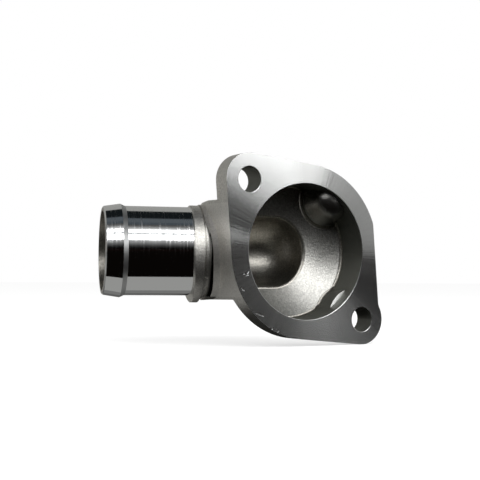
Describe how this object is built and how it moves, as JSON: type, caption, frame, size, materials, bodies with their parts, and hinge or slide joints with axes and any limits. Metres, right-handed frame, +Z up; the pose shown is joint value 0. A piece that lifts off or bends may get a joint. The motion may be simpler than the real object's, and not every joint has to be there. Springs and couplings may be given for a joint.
{
  "type": "thermostat housing",
  "caption": "Cast aluminium coolant outlet housing: two-bolt flange, round chamber behind it and a turned hose spigot with a retaining bead.",
  "frame": {"origin": "centre of the chamber's mouth on the machined flange face", "axes": "-Y out of the flange face toward the engine, +Z up across the two lobes as in the picture, the hose spigot points toward -X and leans 17.5 degrees toward +Y"},
  "size_m": [0.1014, 0.0515, 0.0676],
  "materials": {
    "cast_aluminium": "cast, blasted, with a milled face and a turned spigot"
  },
  "bodies": {
    "root": {"outlet_housing": "cast_aluminium"}
  },
  "joints": []
}
